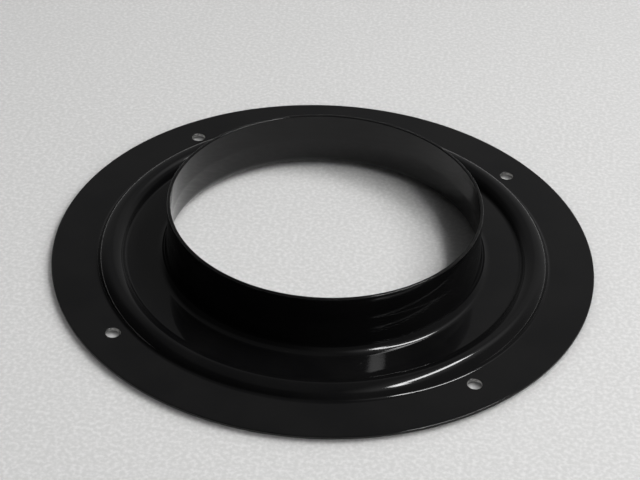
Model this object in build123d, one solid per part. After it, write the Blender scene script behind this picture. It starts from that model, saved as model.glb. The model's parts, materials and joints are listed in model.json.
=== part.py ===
from build123d import *
import math
import os

# Flanged collar ring for a snoot or sleeve, pressed from thin sheet steel.
# Units are millimetres. +Z runs along the collar, away from the surface that the flange is screwed to.
# The origin is the centre of the opening at the level of the flange's flat underside.

# Driving dimensions
SHEET = 1.5
FLANGE_DIAMETER = 250.0
COLLAR_OUTER_DIAMETER = 143.5
RIM_HEIGHT = 29.5
EDGE_ROUNDING = 0.45

# The neck leans inwards by NECK_LEAN degrees and curves upright at its top.
NECK_HEIGHT = 17.5
NECK_LEAN = 6.0
ROOT_RADIUS = 4.5
SHOULDER_RADIUS = 15.0

BEAD_CENTRE_RADIUS = 97.75
BEAD_HALF_WIDTH = 7.5
BEAD_HEIGHT = 4.8
BEAD_FOOT_RADIUS = 1.8

SCREW_CIRCLE_DIAMETER = 222.0
SCREW_HOLE_DIAMETER = 6.4
SCREW_HOLE_COUNT = 4
FIRST_SCREW_ANGLE = 45.0
HOLE_EDGE_ROUNDING = 0.3

# Values worked out from them
FLANGE_RADIUS = FLANGE_DIAMETER / 2
COLLAR_OUTER_RADIUS = COLLAR_OUTER_DIAMETER / 2
COLLAR_INNER_RADIUS = COLLAR_OUTER_RADIUS - SHEET
SHOULDER_CENTRE_RADIUS = COLLAR_OUTER_RADIUS + SHOULDER_RADIUS
LEAN_SIN = math.sin(math.radians(NECK_LEAN))
LEAN_COS = math.cos(math.radians(NECK_LEAN))
ROOT_TOP_HEIGHT = SHEET + ROOT_RADIUS * (1 - LEAN_SIN)
SHOULDER_START_HEIGHT = NECK_HEIGHT - SHOULDER_RADIUS * LEAN_SIN
NECK_RUN = (SHOULDER_START_HEIGHT - ROOT_TOP_HEIGHT) * LEAN_SIN / LEAN_COS
SHOULDER_START_RADIUS = SHOULDER_CENTRE_RADIUS - SHOULDER_RADIUS * LEAN_COS
ROOT_CENTRE_RADIUS = SHOULDER_START_RADIUS + NECK_RUN + ROOT_RADIUS * LEAN_COS
# The crown arc and each foot arc of the bead touch, so their centres are one sum of radii apart.
BEAD_ARC_SUM = (BEAD_HALF_WIDTH**2 + BEAD_HEIGHT**2) / (2 * BEAD_HEIGHT)
BEAD_CROWN_RADIUS = BEAD_ARC_SUM - BEAD_FOOT_RADIUS
BEAD_TILT = math.degrees(math.asin(BEAD_HALF_WIDTH / BEAD_ARC_SUM))
BEAD_CROWN_CENTRE_HEIGHT = SHEET + BEAD_HEIGHT - BEAD_CROWN_RADIUS
BEAD_FOOT_CENTRE_HEIGHT = SHEET + BEAD_FOOT_RADIUS


def arc(centre_radius, centre_height, radius, start_angle, turn):
    """Arc in the section plane, where X is the distance from the axis and Z is the height."""
    return CenterArc((centre_radius, centre_height), radius, start_angle, turn)


def bead_section(foot_radius, crown_radius):
    """Three touching arcs over the bead, from its outer foot to its inner foot."""
    outer_foot = BEAD_CENTRE_RADIUS + BEAD_HALF_WIDTH
    inner_foot = BEAD_CENTRE_RADIUS - BEAD_HALF_WIDTH
    return [
        arc(outer_foot, BEAD_FOOT_CENTRE_HEIGHT, foot_radius, -90, -BEAD_TILT),
        arc(BEAD_CENTRE_RADIUS, BEAD_CROWN_CENTRE_HEIGHT, crown_radius, 90 - BEAD_TILT, 2 * BEAD_TILT),
        arc(inner_foot, BEAD_FOOT_CENTRE_HEIGHT, foot_radius, BEAD_TILT - 90, -BEAD_TILT),
    ]


def flange_skin(level, root_radius, shoulder_radius, foot_radius, crown_radius):
    """One side of the flange's sheet, from the outer edge to the top of the neck."""
    bead = bead_section(foot_radius, crown_radius)
    root = arc(ROOT_CENTRE_RADIUS, SHEET + ROOT_RADIUS, root_radius, -90, NECK_LEAN - 90)
    shoulder = arc(SHOULDER_CENTRE_RADIUS, NECK_HEIGHT, shoulder_radius, NECK_LEAN - 180, -NECK_LEAN)
    return [
        Line((FLANGE_RADIUS, level), bead[0] @ 0),
        *bead,
        Line(bead[2] @ 1, root @ 0),
        root,
        Line(root @ 1, shoulder @ 0),
        shoulder,
    ]


def turned(edges, rounded_corners, rounding):
    """Closed section of straight and round edges, rounded at the named corners and turned about Z."""
    section = make_face(Wire(edges))
    corners = [v for v in section.vertices() if (round(v.X, 3), round(v.Y, 3)) in rounded_corners]
    if corners:
        section = fillet(corners, rounding)
    upright = Plane.XZ * section
    return revolve(upright, axis=Axis.Z)


def screw_holes(solid):
    """Round clearance holes on the screw circle, each with its upper edge slightly rounded."""
    circle = PolarLocations(SCREW_CIRCLE_DIAMETER / 2, SCREW_HOLE_COUNT, FIRST_SCREW_ANGLE)
    drill = Cylinder(SCREW_HOLE_DIAMETER / 2, 4 * SHEET)
    solid -= circle * drill
    hole_edges = [
        edge
        for edge in solid.edges().filter_by(GeomType.CIRCLE)
        if abs(edge.radius - SCREW_HOLE_DIAMETER / 2) < 0.001 and abs(edge.center().Z - SHEET) < 0.001
    ]
    return fillet(hole_edges, HOLE_EDGE_ROUNDING)


def make_flange():
    """Round sheet flange with a raised stiffening bead, four screw holes and a drawn, leaning neck."""
    upper = flange_skin(SHEET, ROOT_RADIUS, SHOULDER_RADIUS, BEAD_FOOT_RADIUS, BEAD_CROWN_RADIUS)
    lower = flange_skin(
        0, ROOT_RADIUS + SHEET, SHOULDER_RADIUS + SHEET, BEAD_FOOT_RADIUS + SHEET, BEAD_CROWN_RADIUS - SHEET
    )
    neck_top = Line((COLLAR_OUTER_RADIUS, NECK_HEIGHT), (COLLAR_INNER_RADIUS, NECK_HEIGHT))
    outer_edge = Line((FLANGE_RADIUS, 0), (FLANGE_RADIUS, SHEET))
    outer_corners = [(FLANGE_RADIUS, 0), (FLANGE_RADIUS, SHEET)]
    solid = turned([*upper, neck_top, *lower, outer_edge], outer_corners, EDGE_ROUNDING)
    return screw_holes(solid)


def make_collar():
    """Straight thin ring butted on the flange's neck, with its free rim slightly rounded."""
    corners = [
        (COLLAR_OUTER_RADIUS, NECK_HEIGHT),
        (COLLAR_OUTER_RADIUS, RIM_HEIGHT),
        (COLLAR_INNER_RADIUS, RIM_HEIGHT),
        (COLLAR_INNER_RADIUS, NECK_HEIGHT),
    ]
    sides = [Line(corners[i], corners[(i + 1) % 4]) for i in range(4)]
    return turned(sides, corners[1:3], EDGE_ROUNDING)


os.makedirs("parts", exist_ok=True)
for node, part in {"pressed_flange": make_flange(), "collar_ring": make_collar()}.items():
    export_step(part, f"parts/{node}.step")
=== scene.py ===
"""Looks of a pressed-steel snoot collar in gloss black enamel, on a pale studio floor.

Lengths are in metres in the CAD frame: the flange lies on z = 0 and the collar stands up along +Z.
"""

import json
import math

import bmesh
import bpy
from mathutils import Matrix, Vector


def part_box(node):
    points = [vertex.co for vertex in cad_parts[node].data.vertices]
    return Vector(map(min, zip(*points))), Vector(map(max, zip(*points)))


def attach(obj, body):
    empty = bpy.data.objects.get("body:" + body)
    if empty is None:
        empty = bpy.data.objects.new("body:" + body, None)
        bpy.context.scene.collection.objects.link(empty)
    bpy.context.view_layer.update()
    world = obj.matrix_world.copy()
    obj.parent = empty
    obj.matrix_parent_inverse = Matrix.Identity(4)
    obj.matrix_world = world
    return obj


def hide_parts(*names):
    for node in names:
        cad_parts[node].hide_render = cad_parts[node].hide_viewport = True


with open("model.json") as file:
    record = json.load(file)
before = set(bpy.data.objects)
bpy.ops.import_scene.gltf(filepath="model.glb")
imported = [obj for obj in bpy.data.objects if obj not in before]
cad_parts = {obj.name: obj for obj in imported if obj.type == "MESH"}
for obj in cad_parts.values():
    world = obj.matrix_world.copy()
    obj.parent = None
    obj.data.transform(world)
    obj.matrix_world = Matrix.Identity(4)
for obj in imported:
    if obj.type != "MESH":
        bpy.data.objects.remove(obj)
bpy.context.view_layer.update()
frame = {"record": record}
MM = 0.001

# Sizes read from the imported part
mounts = {mount["name"]: mount for mount in frame["record"]["mounts"]}
FLANGE_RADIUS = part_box("pressed_flange")[1].x
NECK_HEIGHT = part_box("pressed_flange")[1].z
RIM_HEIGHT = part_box("collar_ring")[1].z
COLLAR_RADIUS = mounts["collar_outside"]["dims"]["r_mm"] * MM
BORE_RADIUS = mounts["collar_bore"]["dims"]["r_mm"] * MM
SCREW_CIRCLE_RADIUS = mounts["flange_screws"]["dims"]["pcd_mm"] / 2 * MM
HOLE_RADIUS = mounts["flange_screws"]["dims"]["hole_r_mm"] * MM
HOLE_COUNT = mounts["flange_screws"]["dims"]["count"]
SHEET = COLLAR_RADIUS - BORE_RADIUS

# Sizes repeated from the part's source
FIRST_HOLE_ANGLE = math.radians(45)
ROOT_RADIUS = 4.5 * MM
NECK_LEAN = 6.0
SHOULDER_RADIUS = 15.0 * MM
EDGE_ROUNDING = 0.45 * MM
HOLE_ROUNDING = 0.3 * MM
BEAD_CENTRE = 97.75 * MM
BEAD_HALF_WIDTH = 7.5 * MM
BEAD_HEIGHT = 4.8 * MM
BEAD_FOOT = 1.8 * MM
BEAD_ARC_SUM = (BEAD_HALF_WIDTH**2 + BEAD_HEIGHT**2) / (2 * BEAD_HEIGHT)
BEAD_CROWN = BEAD_ARC_SUM - BEAD_FOOT
BEAD_TILT = math.degrees(math.asin(BEAD_HALF_WIDTH / BEAD_ARC_SUM))

LEAN_SIN = math.sin(math.radians(NECK_LEAN))
LEAN_COS = math.cos(math.radians(NECK_LEAN))
ROOT_TOP = SHEET + ROOT_RADIUS * (1 - LEAN_SIN)
SHOULDER_START = NECK_HEIGHT - SHOULDER_RADIUS * LEAN_SIN
ROOT_CENTRE = (
    COLLAR_RADIUS
    + SHOULDER_RADIUS * (1 - LEAN_COS)
    + (SHOULDER_START - ROOT_TOP) * LEAN_SIN / LEAN_COS
    + ROOT_RADIUS * LEAN_COS
)

# Mesh density
AROUND = 288
ARC_STEP = 3.6
ARC_LENGTH = 1.5 * MM
SUPPORT = 0.12 * MM
HOLE_CELLS = 4
HOLE_PATCH = 4.6 * MM
HOLE_POINTS = 12 * HOLE_CELLS


# ---- Sections: lists of (distance from the axis, height) ----

def arc(centre_r, centre_z, radius, start, turn):
    """Points along an arc, from angle start through turn, in degrees."""
    length = radius * math.radians(abs(turn))
    count = max(3, math.ceil(abs(turn) / ARC_STEP), math.ceil(length / ARC_LENGTH))
    angles = [math.radians(start + turn * i / count) for i in range(count + 1)]
    return [(centre_r + radius * math.cos(a), centre_z + radius * math.sin(a)) for a in angles]


def straight(start, end, pieces):
    """Points along a straight run, with a support point close to each end."""
    (r0, z0), (r1, z1) = start, end
    near = min(SUPPORT / math.dist(start, end), 0.2)
    steps = [near] + [i / pieces for i in range(1, pieces)] + [1 - near]
    return [(r0 + (r1 - r0) * t, z0 + (z1 - z0) * t) for t in steps]


def joined(*runs):
    """One closed loop of points from several runs, without doubled points."""
    loop = []
    for point in [point for run in runs for point in run]:
        if not loop or math.dist(point, loop[-1]) > 1e-6:
            loop.append(point)
    if math.dist(loop[0], loop[-1]) < 1e-6:
        loop.pop()
    return loop


def bead_arcs(foot, crown):
    """The bead from its outer foot to its inner foot, for one side of the sheet."""
    foot_z = SHEET + BEAD_FOOT
    return (
        arc(BEAD_CENTRE + BEAD_HALF_WIDTH, foot_z, foot, -90, -BEAD_TILT)
        + arc(BEAD_CENTRE, SHEET + BEAD_HEIGHT - BEAD_CROWN, crown, 90 - BEAD_TILT, 2 * BEAD_TILT)
        + arc(BEAD_CENTRE - BEAD_HALF_WIDTH, foot_z, foot, BEAD_TILT - 90, -BEAD_TILT)
    )


def hole_ring_radii():
    """Distances from the axis of the rings that cross the screw holes, from the outside in."""
    return [SCREW_CIRCLE_RADIUS + HOLE_PATCH * (1 - 2 * i / HOLE_CELLS) for i in range(HOLE_CELLS + 1)]


def skin(level, root, foot, crown):
    """One side of the flange's sheet, from the start of its outer edge to the top of the neck."""
    bead = bead_arcs(foot, crown)
    rings = [(r, level) for r in hole_ring_radii()]
    edge = (FLANGE_RADIUS - EDGE_ROUNDING, level)
    root_arc = arc(ROOT_CENTRE, SHEET + ROOT_RADIUS, root, -90, NECK_LEAN - 90)
    inward = root - ROOT_RADIUS
    shoulder = arc(
        COLLAR_RADIUS + SHOULDER_RADIUS, NECK_HEIGHT, SHOULDER_RADIUS + inward, NECK_LEAN - 180, -NECK_LEAN
    )
    return joined(
        straight(edge, rings[0], 3),
        rings,
        [(bead[0][0] + SUPPORT, level)],
        bead,
        straight(bead[-1], root_arc[0], 5),
        root_arc,
        straight(root_arc[-1], shoulder[0], 6),
        shoulder,
    )


def flange_section():
    upper = skin(SHEET, ROOT_RADIUS, BEAD_FOOT, BEAD_CROWN)
    lower = skin(0, ROOT_RADIUS + SHEET, BEAD_FOOT + SHEET, BEAD_CROWN - SHEET)
    edge_r = FLANGE_RADIUS - EDGE_ROUNDING
    top_round = arc(edge_r, SHEET - EDGE_ROUNDING, EDGE_ROUNDING, 0, 90)
    bottom_round = arc(edge_r, EDGE_ROUNDING, EDGE_ROUNDING, -90, 90)
    return joined(upper, lower[::-1], bottom_round, top_round)


def collar_section():
    middle = COLLAR_RADIUS - EDGE_ROUNDING
    inside = BORE_RADIUS + EDGE_ROUNDING
    round_z = RIM_HEIGHT - EDGE_ROUNDING
    outer_round = arc(middle, round_z, EDGE_ROUNDING, 0, 90)
    inner_round = arc(inside, round_z, EDGE_ROUNDING, 90, 90)
    outer_foot = (COLLAR_RADIUS, NECK_HEIGHT)
    inner_foot = (BORE_RADIUS, NECK_HEIGHT)
    return joined(
        [outer_foot],
        straight(outer_foot, outer_round[0], 5),
        outer_round,
        straight(outer_round[-1], inner_round[0], 1),
        inner_round,
        straight(inner_round[-1], inner_foot, 5),
        [inner_foot],
    )


# ---- Meshes ----

def turned_point(r, z, angle):
    return Vector((r * math.cos(angle), r * math.sin(angle), z))


def turned(bm, section, skip):
    """Turns a closed section about the Z axis. skip(ring, segment) names faces to leave out."""
    angles = [2 * math.pi * j / AROUND for j in range(AROUND)]
    grid = [[bm.verts.new(turned_point(r, z, a)) for a in angles] for r, z in section]
    for i in range(len(section)):
        for j in range(AROUND):
            if skip(i, j):
                continue
            k, n = (i + 1) % len(section), (j + 1) % AROUND
            bm.faces.new((grid[i][j], grid[i][n], grid[k][n], grid[k][j]))
    return grid


def hole_segments():
    """For each screw hole, its angle and the numbers of the segments that its patch covers."""
    holes = []
    for n in range(HOLE_COUNT):
        angle = FIRST_HOLE_ANGLE + 2 * math.pi * n / HOLE_COUNT
        middle = round(angle / (2 * math.pi) * AROUND)
        first = middle - HOLE_CELLS // 2
        holes.append((angle, [j % AROUND for j in range(first, first + HOLE_CELLS)]))
    return holes


def ring_at(section, level):
    """Number of the section point where the patch rings start, on the skin at this level."""
    target = (hole_ring_radii()[0], level)
    return min(range(len(section)), key=lambda i: math.dist(section[i], target))


def patch_boundary(grid, first_ring, ring_step, segments):
    """Vertices around a hole's patch, counter-clockwise seen from above."""
    rings = [first_ring + ring_step * i for i in range(HOLE_CELLS + 1)]
    columns = segments + [(segments[-1] + 1) % AROUND]
    outer = [grid[rings[0]][j] for j in columns]
    left = [grid[i][columns[-1]] for i in rings]
    inner = [grid[rings[-1]][j] for j in columns[::-1]]
    right = [grid[i][columns[0]] for i in rings[::-1]]
    return outer[:-1] + left[:-1] + inner[:-1] + right[:-1]


def hole_section():
    """Radius and height pairs down a screw hole, from the flat top round its edge to the underside."""
    rounding = arc(HOLE_RADIUS + HOLE_ROUNDING, SHEET - HOLE_ROUNDING, HOLE_ROUNDING, 90, 90)
    return (
        [(HOLE_RADIUS + 1.0 * MM, SHEET), (HOLE_RADIUS + HOLE_ROUNDING + SUPPORT, SHEET)]
        + rounding
        + [(HOLE_RADIUS, SHEET / 2), (HOLE_RADIUS, SUPPORT), (HOLE_RADIUS, 0)]
        + [(HOLE_RADIUS + SUPPORT, 0), (HOLE_RADIUS + 1.0 * MM, 0)]
    )


def fan(bm, boundary, circle, flip):
    """Joins a square boundary to a round ring that has three points for each of its points."""
    count = len(boundary)
    for i in range(count):
        here, there = boundary[i], boundary[(i + 1) % count]
        a, b, c, d = (circle[(3 * i + k) % len(circle)] for k in range(4))
        for corners in ((here, b, a), (here, there, c, b), (there, d, c)):
            bm.faces.new(corners[::-1] if flip else corners)


def screw_hole(bm, angle, upper, lower):
    """A round hole with a softened upper edge, between two patch boundaries."""
    centre = turned_point(SCREW_CIRCLE_RADIUS, 0, angle)
    first = upper[0].co - centre
    start = math.atan2(first.y, first.x)
    rings = []
    for r, z in hole_section():
        turns = [start + 2 * math.pi * k / HOLE_POINTS for k in range(HOLE_POINTS)]
        rings.append([bm.verts.new(centre + turned_point(r, z, t)) for t in turns])
    for ring, below in zip(rings, rings[1:]):
        for k in range(HOLE_POINTS):
            n = (k + 1) % HOLE_POINTS
            bm.faces.new((ring[k], ring[n], below[n], below[k]))
    fan(bm, upper, rings[0], False)
    fan(bm, lower, rings[-1], True)


def finished(bm, name, material):
    """Turns the bmesh into a smooth object whose hard corners stay hard."""
    bmesh.ops.recalc_face_normals(bm, faces=bm.faces)
    for face in bm.faces:
        face.smooth = True
    for edge in bm.edges:
        edge.smooth = len(edge.link_faces) == 2 and edge.calc_face_angle() < math.radians(40)
    mesh = bpy.data.meshes.new(name)
    bm.to_mesh(mesh)
    bm.free()
    piece = bpy.data.objects.new(name, mesh)
    bpy.context.scene.collection.objects.link(piece)
    mesh.materials.append(material)
    return piece


def make_flange(material):
    bm = bmesh.new()
    section = flange_section()
    upper_ring = ring_at(section, SHEET)
    lower_ring = ring_at(section, 0)
    holes = hole_segments()
    cut = {j for _, segments in holes for j in segments}
    upper_faces = range(upper_ring, upper_ring + HOLE_CELLS)
    lower_faces = range(lower_ring - HOLE_CELLS, lower_ring)
    grid = turned(bm, section, lambda i, j: j in cut and (i in upper_faces or i in lower_faces))
    for angle, segments in holes:
        upper = patch_boundary(grid, upper_ring, 1, segments)
        lower = patch_boundary(grid, lower_ring, -1, segments)
        screw_hole(bm, angle, upper, lower)
    loose = [vert for vert in bm.verts if not vert.link_faces]
    bmesh.ops.delete(bm, geom=loose, context="VERTS")
    return finished(bm, "flange_shell", material)


def make_collar(material):
    bm = bmesh.new()
    turned(bm, collar_section(), lambda i, j: False)
    return finished(bm, "collar_shell", material)


# ---- Node helpers ----

def node(tree, kind, **settings):
    made = tree.nodes.new(kind)
    for name, value in settings.items():
        setattr(made, name, value)
    return made


def wire(tree, value, socket):
    """Feeds a socket from another socket, or sets it to a number or colour."""
    if isinstance(value, bpy.types.NodeSocket):
        tree.links.new(value, socket)
    else:
        socket.default_value = value


def maths(tree, operation, *values):
    made = node(tree, "ShaderNodeMath", operation=operation)
    for value, socket in zip(values, made.inputs):
        wire(tree, value, socket)
    return made.outputs[0]


def times(tree, value, factor):
    return maths(tree, "MULTIPLY", value, factor)


def added(tree, *values):
    total = values[0]
    for value in values[1:]:
        total = maths(tree, "ADD", total, value)
    return total


def vector(tree, operation, *values):
    made = node(tree, "ShaderNodeVectorMath", operation=operation)
    for value, socket in zip(values, made.inputs):
        wire(tree, value, socket)
    return made.outputs["Value" if operation in ("DOT_PRODUCT", "LENGTH") else "Vector"]


def ease(tree, value, low, high, to_low=0.0, to_high=1.0):
    """Goes smoothly from to_low to to_high as the value goes from low to high."""
    made = node(tree, "ShaderNodeMapRange", interpolation_type="SMOOTHSTEP")
    wire(tree, value, made.inputs["Value"])
    for name, number in (("From Min", low), ("From Max", high), ("To Min", to_low), ("To Max", to_high)):
        made.inputs[name].default_value = number
    return made.outputs["Result"]


def noise(tree, place, scale, detail=2.0, roughness=0.5):
    made = node(tree, "ShaderNodeTexNoise")
    wire(tree, place, made.inputs["Vector"])
    made.inputs["Scale"].default_value = scale
    made.inputs["Detail"].default_value = detail
    made.inputs["Roughness"].default_value = roughness
    return made.outputs["Fac"]


def noise_colour(tree, place, scale):
    made = node(tree, "ShaderNodeTexNoise")
    wire(tree, place, made.inputs["Vector"])
    made.inputs["Scale"].default_value = scale
    return made.outputs["Color"]


def mixed(tree, amount, low, high):
    """Blends two colours."""
    made = node(tree, "ShaderNodeMix", data_type="RGBA")
    wire(tree, amount, made.inputs[0])
    wire(tree, low, made.inputs[6])
    wire(tree, high, made.inputs[7])
    return made.outputs[2]


# ---- Materials ----

ENAMEL_DARK = (0.0026, 0.0026, 0.0028, 1)
ENAMEL_LIGHT = (0.0040, 0.0039, 0.0040, 1)
THIN_ENAMEL = (0.010, 0.0097, 0.0093, 1)
DUST_COLOUR = (0.11, 0.106, 0.1, 1)
STEEL_DARK = (0.30, 0.30, 0.29, 1)
STEEL_LIGHT = (0.62, 0.61, 0.60, 1)
FLOOR_DARK = (0.522, 0.520, 0.516, 1)
FLOOR_LIGHT = (0.620, 0.616, 0.612, 1)
ENAMEL_IOR = 1.37

# Orange peel of the enamel, slow waves of the pressed sheet under it, and dust on it
PEEL_SCALE = 420.0
PEEL_HEIGHT = 0.008 * MM
WAVE_SCALE = 55.0
WAVE_HEIGHT = 0.03 * MM
DUST_SCALE = 95.0
DUST_SIZE = 0.024
DUST_SHARE = 0.10
DUST_HEIGHT = 0.03 * MM
FINE_SCALE = 900.0

# How much each of them adds to the roughness
FINE_ROUGHNESS = 0.02
THIN_ROUGHNESS = 0.12
DUST_ROUGHNESS = 0.6
STEEL_ROUGHNESS = 0.4

# How far light spreads inside the pale floor
FLOOR_SOFTNESS = 12.0 * MM


def specks(tree, place, scale, size, share):
    """1 on small irregular specks scattered one to a cell, in this share of the cells."""
    wander = vector(tree, "MULTIPLY", noise_colour(tree, place, scale * 14), (0.6 / scale,) * 3)
    cells = node(tree, "ShaderNodeTexVoronoi")
    wire(tree, vector(tree, "ADD", place, wander), cells.inputs["Vector"])
    cells.inputs["Scale"].default_value = scale
    pick = node(tree, "ShaderNodeSeparateColor")
    wire(tree, cells.outputs["Color"], pick.inputs[0])
    near = ease(tree, cells.outputs["Distance"], size * 0.6, size, 1, 0)
    chosen = maths(tree, "LESS_THAN", pick.outputs[0], share)
    return times(tree, near, chosen)


def edge_mask(tree, place):
    """1 on the turned edges: the flange's outer edge and the collar's free rim."""
    flat = vector(tree, "LENGTH", vector(tree, "MULTIPLY", place, (1, 1, 0)))
    height = node(tree, "ShaderNodeSeparateXYZ")
    wire(tree, place, height.inputs[0])
    outer = ease(tree, flat, FLANGE_RADIUS - 0.5 * MM, FLANGE_RADIUS)
    rim = ease(tree, height.outputs["Z"], RIM_HEIGHT - 0.5 * MM, RIM_HEIGHT)
    return maths(tree, "MAXIMUM", outer, rim)


def hole_mask(tree, place):
    """1 on the walls of the screw holes, which lie on the diagonals of the four quarters."""
    across = SCREW_CIRCLE_RADIUS * math.cos(FIRST_HOLE_ANGLE)
    folded = vector(tree, "ABSOLUTE", vector(tree, "MULTIPLY", place, (1, 1, 0)))
    away = vector(tree, "LENGTH", vector(tree, "SUBTRACT", folded, (across, across, 0)))
    return ease(tree, away, HOLE_RADIUS + 0.03 * MM, HOLE_RADIUS + 0.12 * MM, 1, 0)


def black_enamel(name):
    """Gloss black baked enamel: orange peel, smudges, dust, thin edges and bare steel in the holes."""
    mat = bpy.data.materials.new(name)
    mat.use_nodes = True
    tree = mat.node_tree
    bsdf = tree.nodes["Principled BSDF"]
    place = node(tree, "ShaderNodeTexCoord").outputs["Object"]

    cloud = ease(tree, noise(tree, place, 30.0, 4.0), 0.35, 0.65)
    colour = mixed(tree, cloud, ENAMEL_DARK, ENAMEL_LIGHT)
    worn = ease(tree, noise(tree, place, 420.0, 4.0), 0.52, 0.68)
    thin = times(tree, edge_mask(tree, place), worn)
    colour = mixed(tree, thin, colour, THIN_ENAMEL)
    dust = times(tree, specks(tree, place, DUST_SCALE, DUST_SIZE, DUST_SHARE), 0.8)
    facing = node(tree, "ShaderNodeSeparateXYZ")
    wire(tree, node(tree, "ShaderNodeNewGeometry").outputs["Normal"], facing.inputs[0])
    dust = times(tree, dust, ease(tree, facing.outputs["Z"], 0.5, 0.9))
    colour = mixed(tree, dust, colour, DUST_COLOUR)
    bare = hole_mask(tree, place)
    stain = ease(tree, noise(tree, place, FINE_SCALE, 3.0), 0.35, 0.65)
    steel = mixed(tree, stain, STEEL_DARK, STEEL_LIGHT)
    wire(tree, mixed(tree, bare, colour, steel), bsdf.inputs["Base Color"])
    wire(tree, bare, bsdf.inputs["Metallic"])

    rough = added(
        tree,
        ease(tree, noise(tree, place, 38.0, 4.0, 0.6), 0.42, 0.72, 0.045, 0.085),
        times(tree, noise(tree, place, FINE_SCALE, 2.0), FINE_ROUGHNESS),
        times(tree, thin, THIN_ROUGHNESS),
        times(tree, dust, DUST_ROUGHNESS),
        times(tree, bare, STEEL_ROUGHNESS),
    )
    wire(tree, rough, bsdf.inputs["Roughness"])
    bsdf.inputs["IOR"].default_value = ENAMEL_IOR

    height = added(
        tree,
        times(tree, noise(tree, place, PEEL_SCALE, 2.0), PEEL_HEIGHT),
        times(tree, noise(tree, place, WAVE_SCALE, 1.0), WAVE_HEIGHT),
        times(tree, dust, DUST_HEIGHT),
    )
    bump = node(tree, "ShaderNodeBump")
    bump.inputs["Strength"].default_value = 1.0
    bump.inputs["Distance"].default_value = 1.0
    wire(tree, height, bump.inputs["Height"])
    wire(tree, bump.outputs["Normal"], bsdf.inputs["Normal"])
    return mat


def floor_material():
    """Plain pale board, faintly grained and slightly translucent, so that shadows on it are soft."""
    mat = bpy.data.materials.new("floor")
    mat.use_nodes = True
    tree = mat.node_tree
    bsdf = tree.nodes["Principled BSDF"]
    place = node(tree, "ShaderNodeTexCoord").outputs["Object"]
    grain = ease(tree, noise(tree, place, 560.0, 3.0), 0.36, 0.74)
    wire(tree, mixed(tree, grain, FLOOR_DARK, FLOOR_LIGHT), bsdf.inputs["Base Color"])
    bsdf.inputs["Roughness"].default_value = 0.8
    bsdf.inputs["Specular IOR Level"].default_value = 0.2
    bsdf.subsurface_method = "BURLEY"
    bsdf.inputs["Subsurface Weight"].default_value = 1.0
    bsdf.inputs["Subsurface Radius"].default_value = (1, 1, 1)
    bsdf.inputs["Subsurface Scale"].default_value = FLOOR_SOFTNESS
    return mat


enamel = black_enamel("enamel")
flange = make_flange(enamel)
collar = make_collar(enamel)
for piece, cad_node, slot in (
    (flange, "pressed_flange", "flange_enamel"),
    (collar, "collar_ring", "collar_enamel"),
):
    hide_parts(cad_node)
    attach(piece, "root")


# ---- Stage ----

FLOOR_LEVEL = -1.7 * MM
FLOOR_SIZE = 6
bpy.ops.mesh.primitive_plane_add(size=FLOOR_SIZE, location=(0, 0, FLOOR_LEVEL))
floor = bpy.context.object
floor.name = "floor"
floor.data.materials.append(floor_material())

# Azimuths of the light are counted from the camera's right, counter-clockwise from above
CAMERA_RIGHT = 8.67


def direction(azimuth, elevation):
    a = math.radians(azimuth + CAMERA_RIGHT)
    e = math.radians(elevation)
    return Vector((math.cos(e) * math.cos(a), math.cos(e) * math.sin(a), math.sin(e)))


def strip_light(start, end, width, radiance):
    """A long soft box between two directions, facing the object from the lamp's distance."""
    middle = (start + end).normalized()
    along = (end - start).normalized()
    across = middle.cross(along)
    data = bpy.data.lights.new("strip", "AREA")
    data.shape = "RECTANGLE"
    data.size = 2 * LAMP_DISTANCE * math.tan(start.angle(end) / 2)
    data.size_y = width
    data.energy = radiance * math.pi * data.size * data.size_y
    light = bpy.data.objects.new("strip", data)
    bpy.context.scene.collection.objects.link(light)
    turn = Matrix((along, across, middle)).transposed().to_4x4()
    light.matrix_world = Matrix.Translation(middle * LAMP_DISTANCE) @ turn


def floor_fill(toward, strength, spread):
    """Broad even light for the floor, left out of the reflections in the enamel."""
    data = bpy.data.lights.new("fill", "SUN")
    data.energy = strength
    data.angle = math.radians(spread)
    light = bpy.data.objects.new("fill", data)
    bpy.context.scene.collection.objects.link(light)
    light.rotation_euler = toward.to_track_quat("Z", "Y").to_euler()
    light.visible_glossy = False


# A long lamp in two straight halves
LAMP_DISTANCE = 1.2
LAMP_START = direction(-46, 54)
LAMP_BEND = direction(-8, 63)
LAMP_END = direction(38, 57.2)
LAMP_WIDTH = 0.104
LAMP_RADIANCE = 29.4
strip_light(LAMP_START, LAMP_BEND, LAMP_WIDTH, LAMP_RADIANCE)
strip_light(LAMP_BEND, LAMP_END, LAMP_WIDTH, LAMP_RADIANCE)

# A small box beside its near end
BOX_WIDTH = 0.11
BOX_RADIANCE = 25.0
strip_light(direction(-50, 50), direction(-38, 52), BOX_WIDTH, BOX_RADIANCE)

# A fill that only lights the floor
FILL_STRENGTH = 1.68
FILL_SPREAD = 25
floor_fill(direction(3, 49), FILL_STRENGTH, FILL_SPREAD)

# Lit parts of the walls: azimuth, degrees either side in full light, degrees to no light, brightness
WALLS = ((85, 25, 70, 0.161), (66, 0, 28, 0.084), (-20, 45, 90, 0.112))
WALL_BASE = 0.031
CEILING = 0.112
LAMP_GLOW = 0.70


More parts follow.
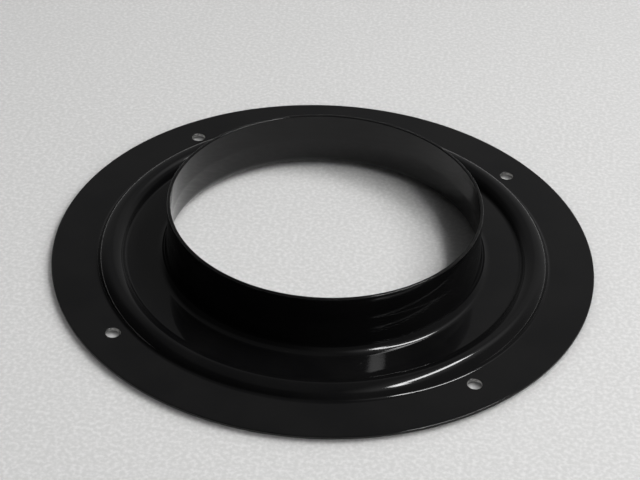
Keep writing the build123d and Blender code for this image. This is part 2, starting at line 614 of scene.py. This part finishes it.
def room():
    """A plain room: lighter behind the object, dim in front and overhead, with a glow round the lamp."""
    world = bpy.data.worlds.new("room")
    bpy.context.scene.world = world
    world.use_nodes = True
    tree = world.node_tree
    place = node(tree, "ShaderNodeTexCoord").outputs["Generated"]
    level = vector(tree, "NORMALIZE", vector(tree, "MULTIPLY", place, (1, 1, 0)))
    height = node(tree, "ShaderNodeSeparateXYZ")
    wire(tree, place, height.inputs[0])

    def wall(azimuth, full, none, amount):
        """Light from walls within full degrees of an azimuth, fading to nothing at none degrees."""
        facing = vector(tree, "DOT_PRODUCT", level, direction(azimuth, 0))
        return ease(tree, facing, math.cos(math.radians(none)), math.cos(math.radians(full)), 0, amount)

    walls = added(tree, *[wall(*numbers) for numbers in WALLS], WALL_BASE)
    low = ease(tree, height.outputs["Z"], 0.66, 0.85, 1, 0)
    ceiling = times(tree, maths(tree, "SUBTRACT", 1.0, low), CEILING)
    lamp_axis = LAMP_START.cross(LAMP_END).normalized()
    lamp_middle = (LAMP_START + LAMP_END).normalized()
    off = maths(tree, "ABSOLUTE", vector(tree, "DOT_PRODUCT", place, lamp_axis))
    near = vector(tree, "DOT_PRODUCT", place, lamp_middle)
    glow = times(tree, ease(tree, off, 0.0, 0.32, LAMP_GLOW, 0), ease(tree, near, 0.72, 0.92))
    background = tree.nodes["Background"]
    wire(tree, added(tree, times(tree, walls, low), ceiling, glow), background.inputs["Strength"])
    background.inputs["Color"].default_value = (1, 1, 1, 1)


room()


# ---- Camera ----

LENS = 90.4
SENSOR_WIDTH = 36
CAMERA_AZIMUTH = -90
CAMERA_ELEVATION = 37.383
CAMERA_DISTANCE = 0.7471
CAMERA_ROLL = math.radians(2.2013)
AIM = Vector((-0.0031, 0.0082, 0))
camera_data = bpy.data.cameras.new("camera")
camera_data.lens = LENS
camera_data.sensor_width = SENSOR_WIDTH
camera_data.clip_start = 0.01
camera = bpy.data.objects.new("camera", camera_data)
bpy.context.scene.collection.objects.link(camera)
camera_place = direction(CAMERA_AZIMUTH, CAMERA_ELEVATION) * CAMERA_DISTANCE
forward = (AIM - camera_place).normalized()
side = forward.cross(Vector((0, 0, 1))).normalized()
roll = Matrix.Rotation(CAMERA_ROLL, 3, -forward)
right = roll @ side
up = roll @ side.cross(forward)
axes = Matrix((right, up, -forward)).transposed().to_4x4()
camera.matrix_world = Matrix.Translation(camera_place) @ axes
bpy.context.scene.camera = camera
bpy.context.scene.view_settings.view_transform = "Standard"
